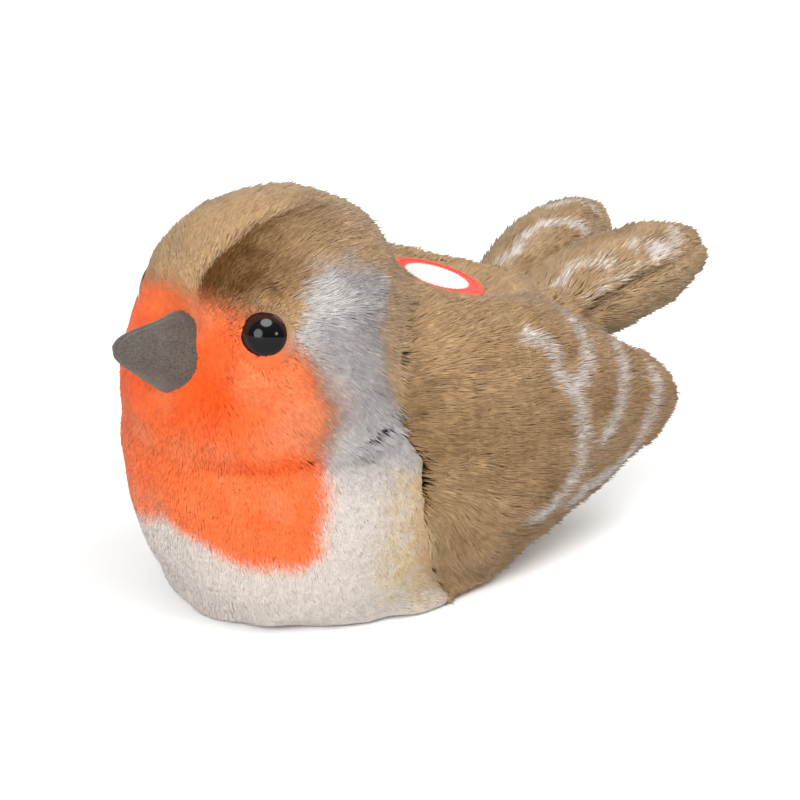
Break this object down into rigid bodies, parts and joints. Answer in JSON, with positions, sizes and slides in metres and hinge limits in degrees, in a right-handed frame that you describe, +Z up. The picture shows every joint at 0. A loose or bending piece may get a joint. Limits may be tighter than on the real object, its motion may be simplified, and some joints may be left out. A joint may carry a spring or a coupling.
{
  "type": "plush robin toy",
  "caption": "Plush robin toy that sits on a flat weighted belly, with a felt beak, button eyes, padded wings, a forked padded tail and a round patch on its back.",
  "frame": {"origin": "on the floor, under the middle of the toy's box", "axes": "+Z up, the beak looks along -Y, the bird's left side is +X"},
  "size_m": [0.076, 0.1398, 0.0825],
  "materials": {
    "body_pile": "short soft pile, brown crown, orange face and breast, grey cheeks, off-white belly",
    "wing_pile": "short soft pile, brown with pale grey sprayed arcs",
    "beak_felt": "grey fine-napped cloth",
    "eye_plastic": "glossy, black pupil in a dark brown ring",
    "patch_cloth": "smooth woven patch, red with a bare white oval"
  },
  "bodies": {
    "root": {"trunk": "body_pile", "head": "body_pile", "beak": "beak_felt", "eye_left": "eye_plastic", "eye_right": "eye_plastic", "wing_left": "wing_pile", "wing_right": "wing_pile", "tail": "wing_pile", "round_patch": "patch_cloth"}
  },
  "joints": []
}
